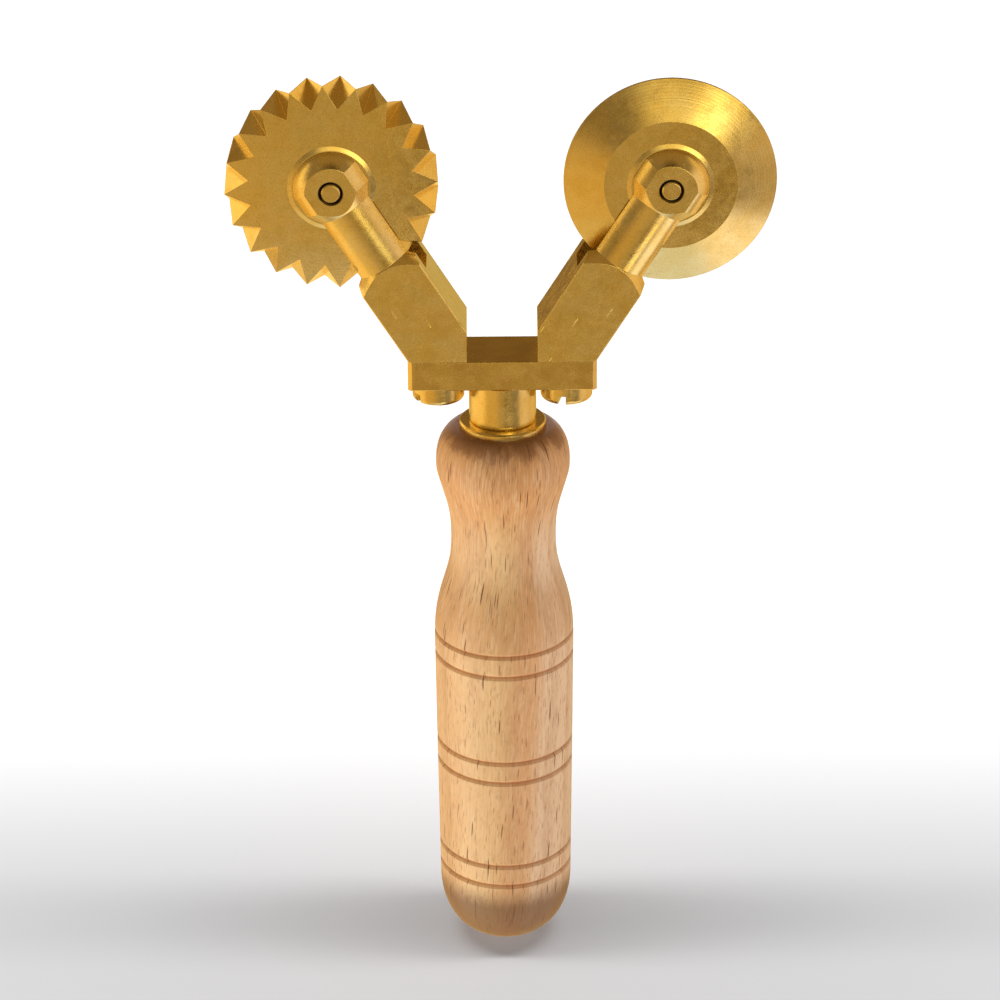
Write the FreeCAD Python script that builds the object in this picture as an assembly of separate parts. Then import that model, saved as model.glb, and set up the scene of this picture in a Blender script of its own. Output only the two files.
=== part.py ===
import FreeCAD, Part
import os
from math import cos, radians, sin, sqrt
from FreeCAD import Placement, Rotation, Vector

# Double pastry wheel: a fluted and a plain brass wheel, each in a forked brass arm, the two arms
# screwed to a cross plate on a turned beech handle.
# Millimetres. +Z runs up the handle, +X points to the plain wheel, and both axles lie along Y.
# The origin is the lowest point of the handle's rounded end, on the handle's axis.

# Wheels
WHEEL_RADIUS = 20.0
WEB_THICKNESS = 6.2
BOSS_RISE = 0.3                 # each side of the web
BOSS_RADIUS = 8.2
BOSS_BEVEL = 0.8
FLUTE_COUNT = 20                # notches on each side
FLUTE_ROOT_RADIUS = 15.5
FLUTE_PHASE = 5.7               # degrees, from the top towards +X
PLAIN_FLAT_RADIUS = 12.5        # the plain wheel's flat web ends here and its bevel begins
RIM_EDGE = 0.5                  # thickness of the plain wheel's cutting edge

# Axle pins
PIN_RADIUS = 2.0
PIN_PROUD = 0.1
PIN_CHAMFER = 0.4
BORE_CLEARANCE = 0.05           # radial, wheel on pin

# Forked arms, turned from round bar and milled square at the foot
BAR = 12.7
BAR_TURNED_RADIUS = 8.85        # leaves the square's corners slightly eased
ARM_TILT = 32.0                 # degrees from the vertical
KNUCKLE_RADIUS = 7.7
KNUCKLE_BALL = 8.0
SHANK_RADIUS = 6.2
SHANK_TOP = 4.9                 # distances down the arm from the axle
SHOULDER_TOP = 18.0
SLOT_WIDTH = 7.0
SLOT_REACH = 22.8
PIN_COUNTERSINK = 0.35
ARM_HALF_GAP = 6.75             # the upright inner cuts stand this far from the handle's axis
TAPPED_DEPTH = 8.0

# Cross plate
PLATE_LENGTH = 36.0
PLATE_THICKNESS = 6.0
PLATE_CORNER = 0.8
PLATE_EASE = 0.2                # broken long edges, top and bottom
STUD_POCKET = 4.6
STUD_END_GAP = 0.2

# Clamp screws, M6 slotted cheese head
SCREW_OFFSET = 12.3
SCREW_RADIUS = 3.0
SCREW_CLEARANCE = 0.2
SCREW_LENGTH = 12.0
SCREW_HEAD_RADIUS = 5.0
SCREW_HEAD_HEIGHT = 3.9
SCREW_HEAD_ROUND = 0.9
SHANK_IN_HEAD = 1.0             # the shank starts this far inside the head, so that the two fuse
DRIVER_SLOT_WIDTH = 1.6
DRIVER_SLOT_DEPTH = 1.9
DRIVER_SLOT_ANGLES = {"left": 53.0, "right": 12.0}   # degrees from -Y towards -X

# Neck
COLLAR_RADIUS = 6.5
COLLAR_HEIGHT = 8.5
COLLAR_ROUND = 0.5
WASHER_RADIUS = 8.4
WASHER_THICKNESS = 1.3
WASHER_CHAMFER = 0.3
STUD_RADIUS = 3.0
STUD_CHAMFER = 0.6
STUD_IN_HANDLE = 48.0
PILOT_RUN_OUT = 2.0             # the hole in the wood is this much deeper than the stud

# Beech handle
HANDLE_LENGTH = 113.2
SEAT_RADIUS = 8.8
BULB_RADIUS = 13.0
BULB_HEIGHT = 106.3
WAIST_RADIUS = 10.25
WAIST_HEIGHT = 90.0
BARREL_TOP_RADIUS = 13.75
BARREL_TOP_HEIGHT = 66.0
BARREL_END_RADIUS = 13.25
BARREL_END_HEIGHT = 14.3
END_FULLNESS = 0.64             # 0.55 would be an ellipse, more is squarer
ELLIPSE_FULLNESS = 0.5523
GROOVE_DEPTH = 0.55
GROOVE_HALF_WIDTH = 0.65        # at the barrel's surface
GROOVE_PAIR_GAP = 4.5
FIRST_GROOVE_PAIR = 19.5        # height of the lowest pair's middle
GROOVE_PAIR_PITCH = 23.8
GROOVE_PAIRS = 3

# Heights that follow
WASHER_TOP = HANDLE_LENGTH + WASHER_THICKNESS
PLATE_BOTTOM = WASHER_TOP + COLLAR_HEIGHT
PLATE_TOP = PLATE_BOTTOM + PLATE_THICKNESS
AXLE_RISE = 34.1                # axle above the plate
AXLE_HEIGHT = PLATE_TOP + AXLE_RISE
AXLE_OFFSET = 31.7              # axle from the handle's axis
BLOCK_CORNER = BAR_TURNED_RADIUS - SHANK_RADIUS

UP = Vector(0, 0, 1)
ORIGIN = Vector(0, 0, 0)


def ring_point(radius, degrees, z):
    return Vector(radius * cos(radians(degrees)), radius * sin(radians(degrees)), z)


def turned(edges):
    """Solid of revolution about Z from half-section edges in the XZ plane."""
    return Part.Face(Part.Wire(edges)).revolve(ORIGIN, UP, 360)


def turned_outline(points):
    """Solid of revolution from straight runs between (radius, height) points."""
    corners = [Vector(r, 0, z) for r, z in points]
    return turned(Part.makePolygon(corners + corners[:1]).Edges)


def cylinder(radius, bottom, top, x=0.0):
    return Part.makeCylinder(radius, top - bottom, Vector(x, 0, bottom), UP)


def block(x_span, y_span, z_span):
    lows, highs = zip(x_span, y_span, z_span)
    return Part.makeBox(highs[0] - lows[0], highs[1] - lows[1], highs[2] - lows[2], Vector(*lows))


def edges_along(shape, axis):
    """Straight edges of a box that run along one axis."""
    return [e for e in shape.Edges if abs(abs(e.tangentAt(e.FirstParameter).dot(axis)) - 1) < 1e-6]


def quarter_curve(start, end, fullness):
    """Quarter round in the XZ plane that leaves start along Z and meets end along X."""
    rise = end[1] - start[1]
    inward = end[0] - start[0]
    poles = [start, (start[0], start[1] + fullness * rise), (end[0] - fullness * inward, end[1]), end]
    curve = Part.BezierCurve()
    curve.setPoles([Vector(x, 0, z) for x, z in poles])
    return curve.toShape()


def line(start, end):
    return Part.makeLine(Vector(start[0], 0, start[1]), Vector(end[0], 0, end[1]))


# ---- handle and neck ----

def barrel_radius(height):
    taper = (BARREL_TOP_RADIUS - BARREL_END_RADIUS) / (BARREL_TOP_HEIGHT - BARREL_END_HEIGHT)
    return BARREL_END_RADIUS + taper * (height - BARREL_END_HEIGHT)


def grip_curve():
    """Smooth line from the barrel's top over the waist to the widest point of the bulb."""
    through = [(BARREL_TOP_RADIUS, BARREL_TOP_HEIGHT), (13.4, 73.6), (12.1, 79.3), (10.75, 84.2),
               (WAIST_RADIUS, WAIST_HEIGHT), (10.65, 95.6), (11.75, 100.0), (12.7, 103.3),
               (BULB_RADIUS, BULB_HEIGHT)]
    curve = Part.BSplineCurve()
    curve.interpolate(Points=[Vector(r, 0, z) for r, z in through],
                      InitialTangent=Vector(0.01, 0, 1), FinalTangent=UP)
    return curve.toShape()


def groove_cutter(height):
    """Ring with a V section that scores the barrel."""
    surface = barrel_radius(height)
    root = surface - GROOVE_DEPTH
    outside = surface + GROOVE_DEPTH
    half_opening = (outside - root) / GROOVE_DEPTH * GROOVE_HALF_WIDTH
    return turned_outline([(root, height), (outside, height - half_opening),
                           (outside, height + half_opening)])


def handle():
    end = (0.0, 0.0)
    barrel_end = (BARREL_END_RADIUS, BARREL_END_HEIGHT)
    barrel_top = (BARREL_TOP_RADIUS, BARREL_TOP_HEIGHT)
    bulb = (BULB_RADIUS, BULB_HEIGHT)
    seat = (SEAT_RADIUS, HANDLE_LENGTH)
    top = (0.0, HANDLE_LENGTH)
    wood = turned([
        quarter_curve(barrel_end, end, END_FULLNESS),
        line(barrel_end, barrel_top),
        grip_curve(),
        quarter_curve(bulb, seat, ELLIPSE_FULLNESS),
        line(seat, top),
        line(top, end),
    ])
    for pair in range(GROOVE_PAIRS):
        middle = FIRST_GROOVE_PAIR + pair * GROOVE_PAIR_PITCH
        for side in (-0.5, 0.5):
            wood = wood.cut(groove_cutter(middle + side * GROOVE_PAIR_GAP))
    hole_depth = STUD_IN_HANDLE + PILOT_RUN_OUT
    return wood.cut(cylinder(STUD_RADIUS, HANDLE_LENGTH - hole_depth, HANDLE_LENGTH))


def handle_washer():
    hole = STUD_RADIUS + SCREW_CLEARANCE
    return turned_outline([
        (hole, HANDLE_LENGTH), (WASHER_RADIUS, HANDLE_LENGTH),
        (WASHER_RADIUS, WASHER_TOP - WASHER_CHAMFER),
        (WASHER_RADIUS - WASHER_CHAMFER, WASHER_TOP), (hole, WASHER_TOP),
    ])


def neck_collar():
    body = cylinder(COLLAR_RADIUS, WASHER_TOP, PLATE_BOTTOM)
    lower_rim = [e for e in body.Edges if e.Closed and abs(e.BoundBox.ZMax - WASHER_TOP) < 1e-6]
    body = body.makeFillet(COLLAR_ROUND, lower_rim)
    return body.cut(cylinder(STUD_RADIUS, WASHER_TOP, PLATE_BOTTOM))


def tang_stud():
    """M6 stud, from the cross plate down through collar and washer into the wood."""
    bottom = HANDLE_LENGTH - STUD_IN_HANDLE
    top = PLATE_BOTTOM + STUD_POCKET - STUD_END_GAP
    tip = STUD_RADIUS - STUD_CHAMFER
    return turned_outline([
        (0, bottom), (tip, bottom), (STUD_RADIUS, bottom + STUD_CHAMFER),
        (STUD_RADIUS, top - STUD_CHAMFER), (tip, top), (0, top),
    ])


def cross_plate():
    half = BAR / 2
    plate = block((-PLATE_LENGTH / 2, PLATE_LENGTH / 2), (-half, half), (PLATE_BOTTOM, PLATE_TOP))
    plate = plate.makeChamfer(PLATE_CORNER, edges_along(plate, UP))
    plate = plate.makeChamfer(PLATE_EASE, edges_along(plate, Vector(1, 0, 0)))
    for x in (-SCREW_OFFSET, SCREW_OFFSET):
        plate = plate.cut(cylinder(SCREW_RADIUS + SCREW_CLEARANCE, PLATE_BOTTOM, PLATE_TOP, x))
    return plate.cut(cylinder(STUD_RADIUS, PLATE_BOTTOM, PLATE_BOTTOM + STUD_POCKET))


# ---- arms ----

def arm_turning():
    """The arm as it leaves the lathe, upright, with the axle at the origin."""
    band = sqrt(KNUCKLE_BALL ** 2 - KNUCKLE_RADIUS ** 2)
    middle = sqrt(0.5) * KNUCKLE_BALL
    foot = -(AXLE_RISE / cos(radians(ARM_TILT)) + BAR)
    tip = Vector(0, 0, KNUCKLE_BALL)
    band_top = Vector(KNUCKLE_RADIUS, 0, band)
    ball = Part.Arc(tip, Vector(middle, 0, middle), band_top).toShape()
    points = [(KNUCKLE_RADIUS, band), (KNUCKLE_RADIUS, -band), (SHANK_RADIUS, -SHANK_TOP),
              (SHANK_RADIUS, -SHOULDER_TOP), (BAR_TURNED_RADIUS, -SHOULDER_TOP - BLOCK_CORNER),
              (BAR_TURNED_RADIUS, foot), (0, foot), (0, KNUCKLE_BALL)]
    runs = Part.makePolygon([Vector(r, 0, z) for r, z in points]).Edges
    return turned([ball] + runs)


def right_arm():
    half = BAR / 2
    side = BAR_TURNED_RADIUS
    far = 2 * AXLE_RISE
    flats = block((-side, side), (-half, half), (-far, KNUCKLE_BALL))
    foot_sides = block((half, far), (-far, far), (-far, -SHOULDER_TOP))
    arm = arm_turning().common(flats)
    arm = arm.cut(foot_sides).cut(foot_sides.mirror(ORIGIN, Vector(1, 0, 0)))
    slot = SLOT_WIDTH / 2
    arm = arm.cut(block((-far, far), (-slot, slot), (-SLOT_REACH, far)))
    arm = arm.cut(axle_hole(half))
    arm.Placement = Placement(Vector(AXLE_OFFSET, 0, AXLE_HEIGHT), Rotation(Vector(0, 1, 0), ARM_TILT))
    room = block((ARM_HALF_GAP, far), (-far, far), (PLATE_TOP, PLATE_TOP + far))
    arm = arm.common(room)
    return arm.cut(cylinder(SCREW_RADIUS, PLATE_TOP, PLATE_TOP + TAPPED_DEPTH, SCREW_OFFSET))


def axle_hole(half):
    """Cross hole for the pin, countersunk at both flats."""
    sunk = PIN_RADIUS + PIN_COUNTERSINK
    hole = turned_outline([
        (0, -half), (sunk, -half), (PIN_RADIUS, -half + PIN_COUNTERSINK),
        (PIN_RADIUS, half - PIN_COUNTERSINK), (sunk, half), (0, half),
    ])
    hole.rotate(ORIGIN, Vector(1, 0, 0), 90)
    return hole


def left_arm():
    return right_arm().mirror(ORIGIN, Vector(1, 0, 0))


def clamp_screw(side):
    """Slotted cheese-head screw, up through the plate into the arm's foot."""
    x = -SCREW_OFFSET if side == "left" else SCREW_OFFSET
    bottom = PLATE_BOTTOM - SCREW_HEAD_HEIGHT
    head = cylinder(SCREW_HEAD_RADIUS, bottom, PLATE_BOTTOM)
    rim = [e for e in head.Edges if e.Closed and abs(e.BoundBox.ZMax - bottom) < 1e-6]
    head = head.makeFillet(SCREW_HEAD_ROUND, rim)
    reach = 2 * SCREW_HEAD_RADIUS
    width = DRIVER_SLOT_WIDTH / 2
    slot = block((-width, width), (-reach, reach), (bottom - reach, bottom + DRIVER_SLOT_DEPTH))
    slot.rotate(ORIGIN, UP, -DRIVER_SLOT_ANGLES[side])
    top = PLATE_BOTTOM + SCREW_LENGTH
    tip = SCREW_RADIUS - STUD_CHAMFER
    shank = turned_outline([
        (0, PLATE_BOTTOM - SHANK_IN_HEAD), (SCREW_RADIUS, PLATE_BOTTOM - SHANK_IN_HEAD),
        (SCREW_RADIUS, top - STUD_CHAMFER), (tip, top), (0, top),
    ])
    screw = head.cut(slot).fuse(shank).removeSplitter()
    screw.translate(Vector(x, 0, 0))
    return screw


# ---- wheels and pins, built about Z with the front face up ----

def on_axle(shape, side):
    """Turn a wheel or pin so that its front faces -Y, and move it to its axle."""
    x = -AXLE_OFFSET if side == "left" else AXLE_OFFSET
    shape.Placement = Placement(Vector(x, 0, AXLE_HEIGHT), Rotation(Vector(1, 0, 0), 90))
    return shape


def boss_and_bore(web):
    """Add the low bevelled boss on both faces, then bore for the pin."""
    face = WEB_THICKNESS / 2
    for direction in (1, -1):
        boss = Part.makeCone(BOSS_RADIUS, BOSS_RADIUS - BOSS_BEVEL, BOSS_RISE,
                             Vector(0, 0, direction * face), Vector(0, 0, direction))
        web = web.fuse(boss)
    bore = cylinder(PIN_RADIUS + BORE_CLEARANCE, -WEB_THICKNESS, WEB_THICKNESS)
    return web.removeSplitter().cut(bore)


def fluted_blank():
    """Disc whose rim is V-notched from both faces, half a pitch apart, so the edge zigzags."""
    pitch = 360.0 / FLUTE_COUNT
    face = WEB_THICKNESS / 2
    first = 90.0 - FLUTE_PHASE
    front_outline = []
    back_outline = []
    facets = []
    for flute in range(FLUTE_COUNT):
        here = first + flute * pitch
        front_root = ring_point(FLUTE_ROOT_RADIUS, here, face)
        back_tip = ring_point(WHEEL_RADIUS, here, -face)
        last_front_tip = ring_point(WHEEL_RADIUS, here - pitch / 2, face)
        front_tip = ring_point(WHEEL_RADIUS, here + pitch / 2, face)
        back_root = ring_point(FLUTE_ROOT_RADIUS, here + pitch / 2, -face)
        next_back_tip = ring_point(WHEEL_RADIUS, here + pitch, -face)
        front_outline += [front_root, front_tip]
        back_outline += [back_tip, back_root]
        facets += [(front_root, back_tip, front_tip), (front_root, last_front_tip, back_tip),
                   (back_root, front_tip, back_tip), (back_root, next_back_tip, front_tip)]
    facets += [front_outline, back_outline]
    faces = [Part.Face(Part.makePolygon(list(f) + [f[0]])) for f in facets]
    blank = Part.Solid(Part.makeShell(faces))
    if blank.Volume < 0:
        blank.reverse()
    return blank


def plain_blank():
    """Disc with a wide bevel on each side down to a thin cutting edge."""
    face = WEB_THICKNESS / 2
    edge = RIM_EDGE / 2
    return turned_outline([
        (0, -face), (PLAIN_FLAT_RADIUS, -face), (WHEEL_RADIUS, -edge),
        (WHEEL_RADIUS, edge), (PLAIN_FLAT_RADIUS, face), (0, face),
    ])


def axle_pin():
    half = BAR / 2 + PIN_PROUD
    tip = PIN_RADIUS - PIN_CHAMFER
    return turned_outline([
        (0, -half), (tip, -half), (PIN_RADIUS, -half + PIN_CHAMFER),
        (PIN_RADIUS, half - PIN_CHAMFER), (tip, half), (0, half),
    ])


PARTS = {
    "handle": handle(),
    "handle_washer": handle_washer(),
    "neck_collar": neck_collar(),
    "tang_stud": tang_stud(),
    "cross_plate": cross_plate(),
    "left_arm": left_arm(),
    "right_arm": right_arm(),
    "left_clamp_screw": clamp_screw("left"),
    "right_clamp_screw": clamp_screw("right"),
    "left_axle_pin": on_axle(axle_pin(), "left"),
    "right_axle_pin": on_axle(axle_pin(), "right"),
    "fluted_wheel": on_axle(boss_and_bore(fluted_blank()), "left"),
    "plain_wheel": on_axle(boss_and_bore(plain_blank()), "right"),
}

os.makedirs("parts", exist_ok=True)
for name, shape in PARTS.items():
    shape.exportStep(f"parts/{name}.step")
    box = shape.BoundBox
    print(f"{name}: valid {shape.isValid()}, solids {len(shape.Solids)}, volume {shape.Volume:.1f}, "
          f"z {box.ZMin:.2f} to {box.ZMax:.2f}")
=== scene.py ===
from math import cos, radians, sin

import bmesh
import bpy
from mathutils import Matrix, Vector


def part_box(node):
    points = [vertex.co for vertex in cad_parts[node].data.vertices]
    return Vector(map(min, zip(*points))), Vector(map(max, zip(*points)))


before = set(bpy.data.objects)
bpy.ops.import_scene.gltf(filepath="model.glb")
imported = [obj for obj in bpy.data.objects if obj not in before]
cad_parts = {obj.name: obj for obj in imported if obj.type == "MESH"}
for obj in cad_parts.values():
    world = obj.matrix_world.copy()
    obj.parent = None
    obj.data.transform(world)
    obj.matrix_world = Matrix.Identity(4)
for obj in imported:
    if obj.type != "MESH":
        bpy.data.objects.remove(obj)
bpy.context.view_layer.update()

# Metres in the scene, millimetres inside the materials.
MM = 0.001
MM_PER_METRE = 1000.0

# Camera: a long lens looking down on the front.
LENS = 131.0
CLIP_START = 0.01
CAMERA_DISTANCE = 0.7099
CAMERA_ELEVATION = radians(25.3)
CAMERA_ROLL = radians(0.43)
CAMERA_TARGET = Vector((-0.63 * MM, 0.0, 97.0 * MM))

# Arms
ARM_TILT = radians(32.0)

# Handle: heights and radii of the straight barrel, in millimetres
BARREL_BOTTOM = 14.3
BARREL_TOP = 66.0
RADIUS_AT_BOTTOM = 13.25
RADIUS_AT_TOP = 13.75
GROOVE_DEPTH = 0.55


# ---- shader building ----

class Shader:
    """A node tree with short calls to add nodes and join them."""

    def __init__(self, tree):
        self.tree = tree
        self.tree.nodes.clear()

    def add(self, kind, inputs=None, **settings):
        node = self.tree.nodes.new(kind)
        for name, value in settings.items():
            setattr(node, name, value)
        for socket, value in (inputs or {}).items():
            self.feed(node.inputs[socket], value)
        return node

    def feed(self, socket, value):
        if isinstance(value, bpy.types.NodeSocket):
            self.tree.links.new(value, socket)
        else:
            socket.default_value = value

    def math(self, operation, a, b=0.0, c=0.0):
        return self.add("ShaderNodeMath", {0: a, 1: b, 2: c}, operation=operation).outputs[0]

    def vector(self, operation, a, b=(0.0, 0.0, 0.0)):
        """Vector arithmetic: a number for a length or a dot product, otherwise a vector."""
        node = self.add("ShaderNodeVectorMath", {0: a, 1: b}, operation=operation)
        return node.outputs[1 if operation in ("LENGTH", "DOT_PRODUCT") else 0]

    def stretch(self, coordinates, x, y, z):
        return self.vector("MULTIPLY", coordinates, (x, y, z))

    def split(self, coordinates):
        return self.add("ShaderNodeSeparateXYZ", {0: coordinates}).outputs

    def join(self, x, y, z):
        return self.add("ShaderNodeCombineXYZ", {0: x, 1: y, 2: z}).outputs[0]

    def radius(self, x, y):
        """Length of the vector (x, y)."""
        return self.math("SQRT", self.math("ADD", self.math("MULTIPLY", x, x), self.math("MULTIPLY", y, y)))

    def noise(self, coordinates, scale=1.0, detail=3.0, roughness=0.55, distortion=0.0):
        return self.add("ShaderNodeTexNoise", {
            "Vector": coordinates, "Scale": scale, "Detail": detail,
            "Roughness": roughness, "Distortion": distortion,
        }).outputs[0]

    def noise_line(self, position, scale, detail, roughness):
        """Noise along one direction only."""
        return self.add("ShaderNodeTexNoise", {
            "W": position, "Scale": scale, "Detail": detail, "Roughness": roughness,
        }, noise_dimensions="1D").outputs[0]

    def cells(self, coordinates):
        """Distance to the nearest of many scattered points, and that point's own random colour."""
        node = self.add("ShaderNodeTexVoronoi", {"Vector": coordinates, "Scale": 1.0})
        return node.outputs["Distance"], node.outputs["Color"]

    def between(self, value, low, high, out_low=0.0, out_high=1.0):
        """Smooth step from out_low at low to out_high at high."""
        return self.add("ShaderNodeMapRange", {
            0: value, 1: low, 2: high, 3: out_low, 4: out_high,
        }, interpolation_type="SMOOTHSTEP").outputs[0]

    def ramp(self, value, *stops):
        node = self.add("ShaderNodeValToRGB", {0: value})
        elements = node.color_ramp.elements
        while len(elements) < len(stops):
            elements.new(0.5)
        for element, (position, colour) in zip(elements, stops):
            element.position = position
            element.color = (*colour, 1.0)
        return node.outputs[0]

    def mix(self, factor, a, b):
        node = self.add("ShaderNodeMix", data_type="RGBA")
        for socket, value in zip((0, 6, 7), (factor, a, b)):
            if isinstance(value, tuple):
                value = (*value, 1.0)
            self.feed(node.inputs[socket], value)
        return node.outputs[2]

    def layer(self, under, over, pattern, start, full, strength=1.0):
        """Lay one colour over another: none of it where pattern is start, strength where it is full."""
        return self.mix(self.between(pattern, start, full, 0.0, strength), under, over)

    def relief(self, *marks):
        """Height of several patterns together, each given with its own height in mm."""
        total = 0.0
        for pattern, height in marks:
            total = self.math("MULTIPLY_ADD", pattern, height, total)
        return total

    def bump(self, height, edge_radius):
        """Normal from a height in mm, over edges that look rounded to edge_radius mm."""
        eased = self.add("ShaderNodeBevel", {"Radius": edge_radius * MM}, samples=4).outputs[0]
        return self.add("ShaderNodeBump", {
            "Height": height, "Distance": MM, "Strength": 1.0, "Normal": eased,
        }).outputs[0]


class Surface(Shader):
    """A material on a Principled shader, with the object's coordinates in millimetres."""

    def __init__(self, name):
        self.material = bpy.data.materials.new(name)
        self.material.use_nodes = True
        super().__init__(self.material.node_tree)
        self.shader = self.add("ShaderNodeBsdfPrincipled")
        self.add("ShaderNodeOutputMaterial", {"Surface": self.shader.outputs[0]})
        metres = self.add("ShaderNodeTexCoord").outputs["Object"]
        self.place = self.stretch(metres, MM_PER_METRE, MM_PER_METRE, MM_PER_METRE)

    def set(self, **values):
        for name, value in values.items():
            self.feed(self.shader.inputs[name.replace("_", " ")], value)


def middle(node):
    """Centre of a node's box, in millimetres."""
    low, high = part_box(node)
    return (low + high) / 2 / MM


# ---- brass ----

BRASS_PALE = (0.92, 0.78, 0.44)
BRASS_GOLD = (0.86, 0.68, 0.30)
BRASS_FRESH = (0.93, 0.74, 0.33)
BRASS_DEEP = (0.74, 0.55, 0.23)
BRASS_ORANGE = (0.80, 0.53, 0.23)
BRASS_OLIVE = (0.64, 0.55, 0.24)
BRASS_SPECK = (0.34, 0.26, 0.13)
# painted shade for the narrow gap round each pin
BRASS_GAP_SHADE = (0.10, 0.075, 0.045)
BRASS_ROUGHNESS = 0.23
PIN_ROUGHNESS = 0.22

# Millimetres
BRASS_EDGE = 0.12               # how far the edges look eased
GAP_SHADE_STARTS = (1.70, 1.90)     # from the axle: no painted shade up to the first, dark from the second
GAP_SHADE_ENDS = (2.50, 2.25)       # dark up to the second, no painted shade from the first
GRIT_DEPTH = 0.006
RING_DEPTH = 0.009              # tool rings on the wheels
CHATTER_DEPTH = 0.00315
CROWN_DROP = 0.0024             # per mm: a wheel's face falls by this times the squared distance from its axle
BAR_GRAIN_DEPTH = 0.012         # drawn grain and dents on the cross plate
BAR_DENT_DEPTH = 0.020
ARM_GRAIN_DEPTH = 0.010         # drawn grain, dents and scratches on the arms
ARM_DENT_DEPTH = 0.014
SCRATCH_DEPTH = 0.03
NECK_RING_DEPTH = 0.006         # turned rings and dents on the collar and washer
NECK_DENT_DEPTH = 0.014
FINE_DENT_DEPTH = 0.014         # dents on screws and pins


def brass(name, marks, tint=BRASS_GOLD, light=BRASS_PALE, roughness=BRASS_ROUGHNESS, seed=0.0):
    """Satin brass: cloudy stains, specks, and the tool marks that marks gives as a height in mm."""
    s = Surface(name)
    place = s.vector("ADD", s.place, (seed, 0.0, -seed))
    clouds = s.noise(place, scale=0.16, detail=4.0, roughness=0.6)
    stains = s.noise(place, scale=0.42, detail=5.0, roughness=0.65, distortion=0.4)
    specks = s.noise(place, scale=2.6, detail=3.0, roughness=0.6)
    grit = s.noise(place, scale=5.0, detail=2.0, roughness=0.5)

    colour = s.layer(tint, light, clouds, start=0.35, full=0.68)
    colour = s.layer(colour, BRASS_ORANGE, stains, start=0.56, full=0.78, strength=0.55)
    colour = s.layer(colour, BRASS_OLIVE, stains, start=0.42, full=0.22, strength=0.50)
    colour = s.layer(colour, BRASS_SPECK, grit, start=0.50, full=0.75, strength=0.35)
    colour = s.layer(colour, BRASS_SPECK, specks, start=0.66, full=0.80, strength=0.50)
    # painted shade in the narrow gap round each pin
    colour = s.mix(pin_gap_shade(s), colour, BRASS_GAP_SHADE)

    stained = s.between(stains, 0.3, 0.7, out_low=-0.05, out_high=0.07)
    speckled = s.between(specks, 0.4, 0.7, out_low=-0.02, out_high=0.04)
    rough = s.math("ADD", s.math("ADD", stained, roughness), speckled)
    height = s.math("MULTIPLY_ADD", grit, GRIT_DEPTH, marks(s))
    s.set(Base_Color=colour, Metallic=1.0, Roughness=rough, Normal=s.bump(height, BRASS_EDGE))
    return s.material


def pin_gap_shade(s):
    """Painted shade: one in the narrow gap round each pin, where the gap lies in shadow. The pins are mirrored
    in X.
    """
    axle = middle("right_axle_pin")
    x, _, z = s.split(s.place)
    sideways = s.math("SUBTRACT", s.math("ABSOLUTE", x), axle.x)
    from_pin = s.radius(sideways, s.math("SUBTRACT", z, axle.z))
    return s.math("MULTIPLY", s.between(from_pin, *GAP_SHADE_STARTS), s.between(from_pin, *GAP_SHADE_ENDS))


def turned_marks(s, centre):
    """Fine rings round an axle along Y, on a face that the lathe left very slightly crowned."""
    x, _, z = s.split(s.vector("SUBTRACT", s.place, tuple(centre)))
    square = s.math("ADD", s.math("MULTIPLY", x, x), s.math("MULTIPLY", z, z))
    rings = s.noise_line(s.math("SQRT", square), scale=2.2, detail=3.0, roughness=0.7)
    chatter = s.noise(s.place, scale=4.0, detail=2.0, roughness=0.5)
    return s.relief((rings, RING_DEPTH), (chatter, CHATTER_DEPTH), (square, -CROWN_DROP))


def wheel_marks(node):
    centre = middle(node)
    return lambda s: turned_marks(s, centre)


def plate_marks(s):
    """Grain drawn along the bar, with some scattered dents."""
    grain = s.noise(s.stretch(s.place, 0.12, 5.0, 5.0), roughness=0.6)
    dents = s.noise(s.place, scale=0.8, roughness=0.6)
    return s.relief((grain, BAR_GRAIN_DEPTH), (dents, BAR_DENT_DEPTH))


def arm_marks(s):
    """Grain along the tilted bar, with a few long scratches. Both arms share it, mirrored."""
    x, y, z = s.split(s.place)
    x = s.math("ABSOLUTE", x)
    along = s.math("ADD", s.math("MULTIPLY", x, sin(ARM_TILT)), s.math("MULTIPLY", z, cos(ARM_TILT)))
    across = s.math("SUBTRACT", s.math("MULTIPLY", x, cos(ARM_TILT)), s.math("MULTIPLY", z, sin(ARM_TILT)))
    here = s.join(along, across, y)
    grain = s.noise(s.stretch(here, 0.15, 5.0, 5.0), roughness=0.6)
    dents = s.noise(here, scale=0.9, roughness=0.6)
    distance, _ = s.cells(s.stretch(here, 0.09, 0.8, 0.8))
    scratches = s.between(distance, 0.12, 0.05)
    return s.relief((grain, ARM_GRAIN_DEPTH), (dents, ARM_DENT_DEPTH), (scratches, -SCRATCH_DEPTH))


def neck_marks(s):
    """Rings that the lathe left on the collar and washer, with some dents."""
    rings = s.noise_line(s.split(s.place)[2], scale=4.0, detail=2.0, roughness=0.6)
    dents = s.noise(s.place, scale=1.4, roughness=0.6)
    return s.relief((rings, NECK_RING_DEPTH), (dents, NECK_DENT_DEPTH))


def fine_marks(s):
    """Small dents all over."""
    return s.relief((s.noise(s.place, scale=2.2, roughness=0.6), FINE_DENT_DEPTH))


# ---- beech ----

BEECH_TAN = (0.88, 0.50, 0.215)
BEECH_YELLOW = (0.95, 0.59, 0.26)
BEECH_ROSE = (0.82, 0.43, 0.19)
BEECH_PINK = (0.90, 0.59, 0.355)
# deeper colour at the shoulder and bulb: partly painted shade where they face up, partly their end grain
BEECH_DEEP_AND_SHADE = (0.71, 0.31, 0.09)
BEECH_PALE = (0.95, 0.68, 0.38)
BEECH_LATE = (0.58, 0.28, 0.11)
BEECH_PORE = (0.16, 0.037, 0.012)
BEECH_FLECK = (0.38, 0.12, 0.04)
BEECH_END = (0.24, 0.085, 0.03)
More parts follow.
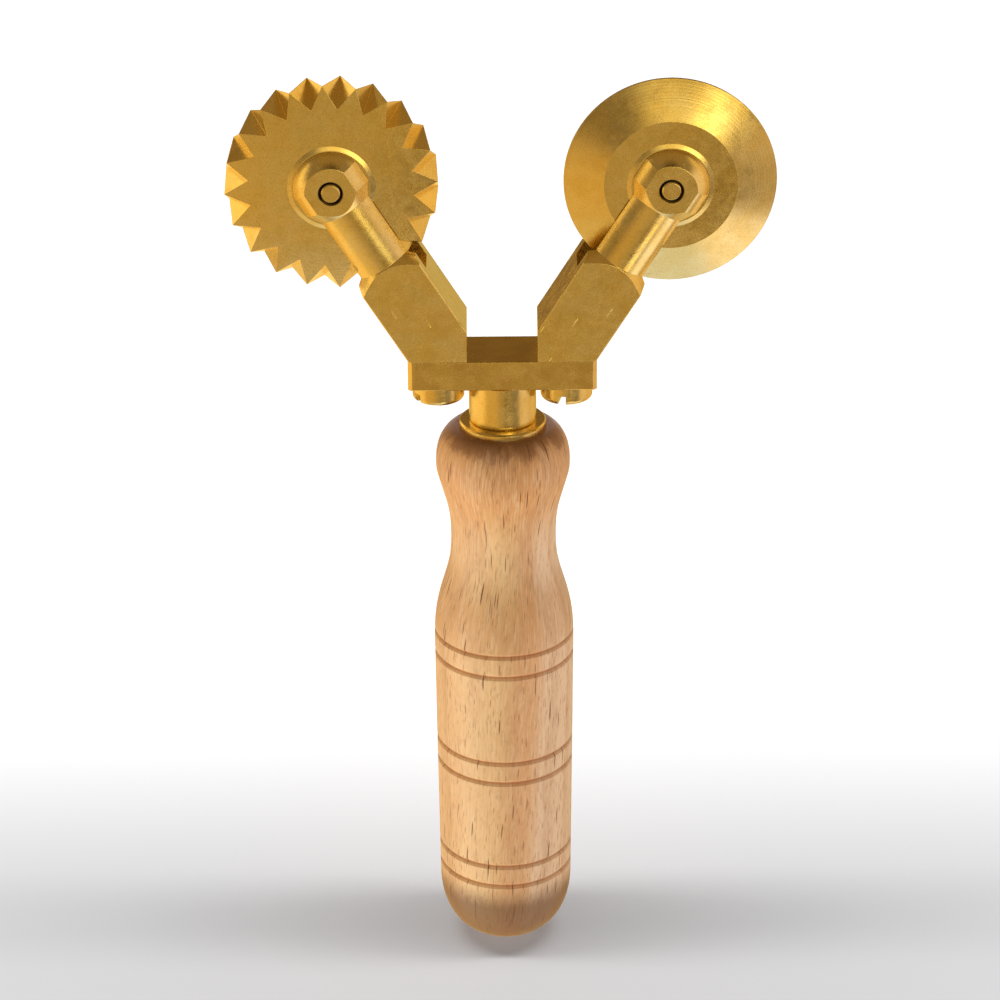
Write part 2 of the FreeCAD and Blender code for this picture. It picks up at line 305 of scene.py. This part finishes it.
# painted shade on the rounded foot where it faces the floor, with its end grain's darker tone
BEECH_FOOT_SHADE = (0.20, 0.09, 0.035)
BEECH_SCORED = (0.46, 0.17, 0.07)

# Millimetres
BEECH_EDGE = 0.15               # how far the edges look eased
FIBRE_RADIUS = 13.0             # the fibres are laid out on a cylinder of this radius
END_GRAIN_RADIUS = 10.0         # nearer the axis than this the ends show the fibres cut across
PORE_DEPTH = 0.015
FIBRE_HEIGHT = 0.02
PITH_X = 9.0                    # where the pith of the tree was, behind the handle, at the handle's foot
PITH_Y = 38.0
RING_WAVER = 4.0                # how far the growth rings stray
BAND_WAVER = 9.0                # how far the colour bands stray sideways
HEIGHT_WAVER = 12.0             # and how far up and down the wood changes colour
SHOULDER_DEEPENS = (72.0, 79.0)         # heights between which the wood grows deeper in colour: painted shade where the shoulder faces up, with its end grain's deeper tone
SHOULDER_RECOVERS = (92.0, 84.0)        # and from the second up to the first grows lighter again
# the bulb deepens too: painted shade where it faces up, with its end grain's deeper tone
BULB_DEEPENS = (94.0, 108.0)
TOP_RAGGED = 11.0               # how unevenly the dark end grain stops, at the top
FOOT_RAGGED = 5.0               # and at the foot
END_FADE = 0.5                  # the groove colour stops this sharply at the barrel's foot
SHOULDER_MARGIN = 4.0           # and begins to fade this far above the barrel's top
GROOVE_SHALLOW = 0.10           # a groove this shallow isn't coloured yet

# Not in millimetres
GRAIN_SLANT = 0.05              # the fibres lean this much towards +X as they rise
PITH_SLANT_X = -0.05
PITH_SLANT_Y = 0.02
FIBRE_TURN = 0.22               # radians that the fibres wander round the handle
RINGS_PER_MM = 0.23


def along_fibres(s):
    """Coordinates that follow the fibres, so that they run unbroken over bulb, waist and shoulder."""
    x, y, z = s.split(s.place)
    spread = s.math("DIVIDE", FIBRE_RADIUS, s.math("MAXIMUM", s.radius(x, y), END_GRAIN_RADIUS))
    rolled = s.join(s.math("MULTIPLY", x, spread), s.math("MULTIPLY", y, spread), z)
    wander = s.noise(s.stretch(s.place, 0.07, 0.07, 0.03), detail=2.0, roughness=0.5)
    turn = s.math("MULTIPLY_ADD", z, -GRAIN_SLANT / FIBRE_RADIUS, s.math("MULTIPLY", wander, FIBRE_TURN))
    rotation = s.add("ShaderNodeVectorRotate", {"Vector": rolled, "Angle": turn}, rotation_type="Z_AXIS")
    return rotation.outputs[0]


def grained(s, grain, across, along, **look):
    """Noise with its own scale across and along the fibres."""
    return s.noise(s.stretch(grain, across, across, along), **look)


def pores(s, grain, across, along, thin, thick):
    """Short dark vessels along the grain, from stretched cells: one for each cell, each its own width."""
    distance, shade = s.cells(s.stretch(grain, across, across, along))
    width = s.between(s.split(shade)[0], 0.0, 1.0, thin, thick)
    return s.between(s.math("DIVIDE", distance, width), 1.0, 0.55)


def growth_rings(s):
    """How late in the year the wood grew, from the distance to a pith behind the handle."""
    z = s.split(s.place)[2]
    pith_x = s.math("MULTIPLY_ADD", z, PITH_SLANT_X, PITH_X)
    pith_y = s.math("MULTIPLY_ADD", z, PITH_SLANT_Y, PITH_Y)
    spread = s.vector("LENGTH", s.vector("SUBTRACT", s.place, s.join(pith_x, pith_y, z)))
    waver = s.noise(s.stretch(s.place, 0.20, 0.20, 0.035))
    age = s.math("MULTIPLY", s.math("MULTIPLY_ADD", waver, RING_WAVER, spread), RINGS_PER_MM)
    season = s.math("FRACT", age)
    return s.math("MULTIPLY", s.between(season, 0.30, 0.86), s.between(season, 1.0, 0.88))


def beech_bands_and_painted_light(s, grain):
    """Stripes up the handle, partly the wood's bands, partly painted light: yellow left, pink right. Deeper at
    shoulder and bulb: partly painted shade where they face up, partly end grain.
    """
    stray = grained(s, grain, across=0.35, along=0.015, roughness=0.5)
    centred = s.math("SUBTRACT", s.split(grain)[0], BAND_WAVER / 2)
    position = s.math("MULTIPLY_ADD", stray, BAND_WAVER, centred)
    share = s.between(position, -FIBRE_RADIUS, FIBRE_RADIUS)
    # yellow on the left third and pink on the right: partly painted light from the left and the right
    colour = s.ramp(share, (0.0, BEECH_TAN), (0.14, BEECH_YELLOW), (0.34, BEECH_YELLOW), (0.48, BEECH_TAN),
                    (0.58, BEECH_ROSE), (0.70, BEECH_ROSE), (0.84, BEECH_PINK), (1.0, BEECH_PINK))
    height = s.math("MULTIPLY_ADD", stray, HEIGHT_WAVER, s.split(s.place)[2])
    # painted shade on the shoulder and bulb, which face up, with their end grain's deeper tone
    rises = s.between(height, *SHOULDER_DEEPENS, out_high=0.45)
    shoulder = s.math("MULTIPLY", rises, s.between(height, *SHOULDER_RECOVERS))
    bulb = s.between(height, *BULB_DEEPENS, out_high=0.85)
    return s.mix(s.math("MAXIMUM", shoulder, bulb), colour, BEECH_DEEP_AND_SHADE)


def groove_shade(s):
    """One in the scored grooves, where the surface drops below the straight barrel."""
    x, y, z = s.split(s.place)
    taper = (RADIUS_AT_TOP - RADIUS_AT_BOTTOM) / (BARREL_TOP - BARREL_BOTTOM)
    barrel = s.math("MULTIPLY_ADD", z, taper, RADIUS_AT_BOTTOM - taper * BARREL_BOTTOM)
    sunk = s.between(s.math("SUBTRACT", barrel, s.radius(x, y)), GROOVE_SHALLOW, GROOVE_DEPTH)
    above_end = s.between(z, BARREL_BOTTOM - END_FADE, BARREL_BOTTOM)
    shoulder = BARREL_TOP + SHOULDER_MARGIN
    below_shoulder = s.between(z, shoulder + 1.0, shoulder)
    return s.math("MULTIPLY", sunk, s.math("MULTIPLY", above_end, below_shoulder))


def beech_pores(s, grain, colour):
    """Three sizes of pore over colour. Returns the new colour, and one where the wood is pitted."""
    short = pores(s, grain, across=2.4, along=0.28, thin=0.04, thick=0.34)
    middling = pores(s, grain, across=1.8, along=0.17, thin=0.01, thick=0.31)
    long = pores(s, grain, across=1.5, along=0.095, thin=0.01, thick=0.27)
    crowding = grained(s, grain, across=0.22, along=0.06, detail=2.0, roughness=0.5)
    middling = s.math("MULTIPLY", middling, s.between(crowding, 0.40, 0.60, out_low=0.35))
    colour = s.mix(s.math("MULTIPLY", short, 0.50), colour, BEECH_FLECK)
    colour = s.mix(s.math("MULTIPLY", middling, 0.80), colour, BEECH_FLECK)
    colour = s.mix(s.math("MULTIPLY", long, 0.90), colour, BEECH_PORE)
    pits = s.math("MAXIMUM", s.math("MAXIMUM", long, middling), s.math("MULTIPLY", short, 0.5))
    return colour, pits


def beech_ends(s, grain, fluff, colour):
    """End grain drinks the finish and goes dark round the washer. The rounded foot is darker too: painted
    shade where it faces the floor, together with its end grain.
    """
    z = s.split(s.place)[2]
    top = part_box("handle")[1].z / MM
    ragged = grained(s, grain, across=0.30, along=0.25, detail=5.0, roughness=0.65)
    high = s.math("MULTIPLY_ADD", ragged, TOP_RAGGED, z)
    colour = s.layer(colour, BEECH_END, high, start=top + 2.0, full=top + 5.0, strength=0.65)
    # painted shade on the foot, which faces the floor, together with its end grain
    low = s.math("MULTIPLY_ADD", fluff, FOOT_RAGGED, z)
    foot = BARREL_BOTTOM
    return s.layer(colour, BEECH_FOOT_SHADE, low, start=foot + 5.5, full=foot - 0.5, strength=0.85)


def beech():
    s = Surface("beech")
    grain = along_fibres(s)
    fibres = grained(s, grain, across=3.2, along=0.20, detail=4.0, roughness=0.65)
    fluff = grained(s, grain, across=1.5, along=0.45, detail=5.0, roughness=0.7)

    colour = beech_bands_and_painted_light(s, grain)
    colour = s.mix(s.math("MULTIPLY", growth_rings(s), 0.34), colour, BEECH_LATE)
    colour = s.layer(colour, BEECH_PALE, fibres, start=0.45, full=0.68, strength=0.50)
    colour = s.layer(colour, BEECH_LATE, fibres, start=0.45, full=0.28, strength=0.40)
    colour = s.layer(colour, BEECH_LATE, fluff, start=0.50, full=0.68, strength=0.45)
    colour, pits = beech_pores(s, grain, colour)
    colour = beech_ends(s, grain, fluff, colour)
    colour = s.mix(s.math("MULTIPLY", groove_shade(s), 0.6), colour, BEECH_SCORED)

    s.set(Base_Color=colour, Roughness=s.between(fibres, 0.3, 0.7, out_low=0.42, out_high=0.54))
    height = s.relief((fibres, FIBRE_HEIGHT), (pits, -PORE_DEPTH))
    s.set(Normal=s.bump(height, BEECH_EDGE), Specular_IOR_Level=0.3)
    return s.material


# ---- steel ----

STEEL_DARK = (0.40, 0.40, 0.41)
STEEL_LIGHT = (0.60, 0.60, 0.60)


def steel():
    s = Surface("steel_stud")
    grain = s.noise(s.stretch(s.place, 3.0, 3.0, 1.0))
    rough = s.between(grain, 0.3, 0.7, out_low=0.28, out_high=0.42)
    s.set(Base_Color=s.mix(grain, STEEL_DARK, STEEL_LIGHT), Metallic=1.0, Roughness=rough)
    return s.material


def dress_nodes():
    """Give each CAD node the finish that its material slot names."""
    finishes = {
        "beech": beech(),
        "brass_turned": brass("brass_turned", neck_marks, seed=11.0),
        "brass_plate": brass("brass_plate", plate_marks, BRASS_DEEP, BRASS_GOLD, seed=23.0),
        "brass_arm": brass("brass_arm", arm_marks, BRASS_FRESH, seed=37.0),
        "brass_screw": brass("brass_screw", fine_marks, seed=41.0),
        "brass_pin": brass("brass_pin", fine_marks, seed=53.0, roughness=PIN_ROUGHNESS),
        "brass_fluted_wheel": brass(
            "brass_fluted_wheel", wheel_marks("fluted_wheel"), BRASS_FRESH, seed=67.0),
        "brass_plain_wheel": brass(
            "brass_plain_wheel", wheel_marks("plain_wheel"), seed=79.0),
        "steel_stud": steel(),
    }
    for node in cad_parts.values():
        for slot in node.material_slots:
            slot.material = finishes[slot.material.name.split(".")[0]]


# ---- stage ----

# Floor: painted shading, grey round the object and growing paler to the back. Distances in mm.
FLOOR_RADIUS = 2.5              # metres
FLOOR_SIDES = 96
FLOOR_GREY_AT = -20.0           # below zero, so that it is already a little paler under the object
FLOOR_WHITE_AT = 140.0
GREY_SIDEWAYS = 0.2             # a distance to the side counts this much
GREY_FORWARD = 0.05             # and a distance to the front this much
FLOOR_GREY = (0.47, 0.47, 0.478)
FLOOR_WHITE = (0.95, 0.95, 0.955)

# Lamps for the floor: metres, watts for the strip, watts per square metre for the fill
OVERHEAD_PLACE = (0.0, -0.04, 2.0)
OVERHEAD_SIZE = (2.4, 0.3)
OVERHEAD_POWER = 42.0
FLOOR_FILL = 1.35


def floor_material():
    s = Surface("floor_paper")
    x, y, _ = s.split(s.place)
    sideways = s.math("MULTIPLY", x, GREY_SIDEWAYS)
    depth = s.math("MAXIMUM", y, s.math("MULTIPLY", y, -GREY_FORWARD))
    # painted shading: grey round the object, white to the back
    share = s.between(s.radius(sideways, depth), FLOOR_GREY_AT, FLOOR_WHITE_AT)
    s.set(Base_Color=s.ramp(share, (0.0, FLOOR_GREY), (1.0, FLOOR_WHITE)))
    s.set(Roughness=0.9, Specular_IOR_Level=0.0)
    return s.material


def floor():
    """A broad disc, kept out of the brass's reflections so that the surroundings below stay soft."""
    mesh = bpy.data.meshes.new("floor")
    work = bmesh.new()
    bmesh.ops.create_circle(work, cap_ends=True, segments=FLOOR_SIDES, radius=FLOOR_RADIUS)
    work.to_mesh(mesh)
    work.free()
    mesh.materials.append(floor_material())
    disc = bpy.data.objects.new("floor", mesh)
    bpy.context.scene.collection.objects.link(disc)
    disc.visible_glossy = False
    disc.visible_shadow = False
    return disc


# Patches of the room as (azimuth, elevation, full to, gone by, colour), angles in degrees.
# Azimuth 0 is the viewer's side and 90 is the object's right. Each patch covers those above it.
ROOM = (0.24, 0.160, 0.063)
PATCHES = [
    (180, 20, 40, 70, (0.21, 0.118, 0.036)),      # brown wall behind
    (0, 90, 20, 45, (0.30, 0.175, 0.050)),        # dark ceiling
    (180, -45, 18, 40, (1.30, 0.860, 0.280)),     # lit table behind
    (135, -32, 14, 34, (0.90, 0.560, 0.170)),     # and further round on the right
    (-3, -25, 0, 40, (0.45, 0.290, 0.086)),       # table in front
    (16, -22, 2, 14, (0.20, 0.120, 0.036)),       # shade on it, to the right
    (0, -64, 14, 36, (0.82, 0.800, 0.700)),       # pale sheet below
    (80, -5, 18, 42, (0.90, 0.630, 0.330)),       # light wall on the right
    (66, -52, 10, 22, (1.30, 1.050, 0.760)),      # the sheet's right edge
    (42, -20, 8, 20, (0.26, 0.195, 0.105)),       # grey cloth on the right
    (23, -39, 4, 12, (1.90, 1.450, 0.660)),       # a glint between them
    (-95, -27, 24, 50, (1.10, 0.690, 0.200)),     # warm window on the left
    (-38, -20, 8, 30, (0.70, 0.415, 0.102)),      # its light along the table
    (-35, -52, 6, 18, (0.80, 0.570, 0.210)),      # and on the sheet
    (-115, 12, 24, 38, (1.30, 0.860, 0.260)),     # bright wall beyond the window
    (117, 25, 18, 36, (0.95, 0.600, 0.180)),      # warm wall on the right
    (0, 50, 10, 26, (0.06, 0.035, 0.013)),        # dark shape above the viewer
    (0, 22, 8, 20, (1.10, 0.800, 0.270)),         # pale wall behind the viewer
    (24, 13, 8, 18, (2.80, 2.150, 0.800)),        # small window on the right
    (155, -12, 8, 26, (0.60, 0.440, 0.150)),      # something lit, behind on the right
]

# Soft suns that only the handle takes: azimuth, elevation, strength, colour.
HANDLE_SUNS = [
    (-65, -24, 1.75, (1.0, 0.97, 0.92)),
    (72, -14, 1.00, (1.0, 0.94, 0.90)),
    (0, 22, 0.62, (1.0, 0.96, 0.90)),
    (180, 5, 1.0, (1.0, 0.98, 0.95)),
]
SUN_SPREAD = radians(50.0)


def towards(azimuth, elevation):
    a, e = radians(azimuth), radians(elevation)
    return sin(a) * cos(e), -cos(a) * cos(e), sin(e)


def surroundings():
    """The room that the brass mirrors: soft patches on a dim brown. Lamps light the wood and the floor."""
    world = bpy.data.worlds.new("studio")
    bpy.context.scene.world = world
    world.use_nodes = True
    s = Shader(world.node_tree)
    direction = s.add("ShaderNodeTexCoord").outputs["Generated"]
    colour = ROOM
    for azimuth, elevation, inner, outer, glow in PATCHES:
        aim = s.vector("DOT_PRODUCT", direction, towards(azimuth, elevation))
        colour = s.layer(colour, glow, aim, start=cos(radians(outer)), full=cos(radians(inner)))
    light = s.add("ShaderNodeBackground", {"Color": colour, "Strength": 1.0})
    s.add("ShaderNodeOutputWorld", {"Surface": light.outputs[0]})
    world.cycles_visibility.diffuse = False


def only_for(lamp, lit):
    """Let one object take a lamp's light, and no other."""
    group = bpy.data.collections.new("lit_by_" + lamp.name)
    group.objects.link(lit)
    lamp.light_linking.receiver_collection = group


def add_lamp(name, kind, power):
    lamp = bpy.data.lights.new(name, kind)
    lamp.energy = power
    holder = bpy.data.objects.new(name, lamp)
    bpy.context.scene.collection.objects.link(holder)
    return holder


def floor_lights(lit):
    """A long strip above the floor for a soft contact shadow, and an even fill that casts none."""
    strip = add_lamp("overhead", "AREA", OVERHEAD_POWER)
    strip.data.shape = "RECTANGLE"
    strip.data.size, strip.data.size_y = OVERHEAD_SIZE
    strip.location = OVERHEAD_PLACE
    only_for(strip, lit)
    fill = add_lamp("floor_fill", "SUN", FLOOR_FILL)
    fill.data.use_shadow = False
    only_for(fill, lit)


def handle_suns():
    for number, (azimuth, elevation, strength, colour) in enumerate(HANDLE_SUNS):
        sun = add_lamp(f"handle_sun_{number}", "SUN", strength)
        sun.data.angle = SUN_SPREAD
        sun.data.color = colour
        sun.rotation_euler = Vector(towards(azimuth, elevation)).to_track_quat("Z", "Y").to_euler()
        only_for(sun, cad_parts["handle"])


def camera():
    right = Vector((1.0, 0.0, 0.0))
    up = Vector((0.0, sin(CAMERA_ELEVATION), cos(CAMERA_ELEVATION)))
    back = Vector((0.0, -cos(CAMERA_ELEVATION), sin(CAMERA_ELEVATION)))
    rolled_right = cos(CAMERA_ROLL) * right - sin(CAMERA_ROLL) * up
    rolled_up = sin(CAMERA_ROLL) * right + cos(CAMERA_ROLL) * up
    lens = bpy.data.cameras.new("camera")
    lens.lens = LENS
    lens.clip_start = CLIP_START
    viewer = bpy.data.objects.new("camera", lens)
    bpy.context.scene.collection.objects.link(viewer)
    turn = Matrix((rolled_right, rolled_up, back)).transposed().to_4x4()
    viewer.matrix_world = Matrix.Translation(CAMERA_TARGET + CAMERA_DISTANCE * back) @ turn
    bpy.context.scene.camera = viewer


camera()
surroundings()
floor_lights(floor())
handle_suns()
dress_nodes()
bpy.context.scene.view_settings.view_transform = "Standard"
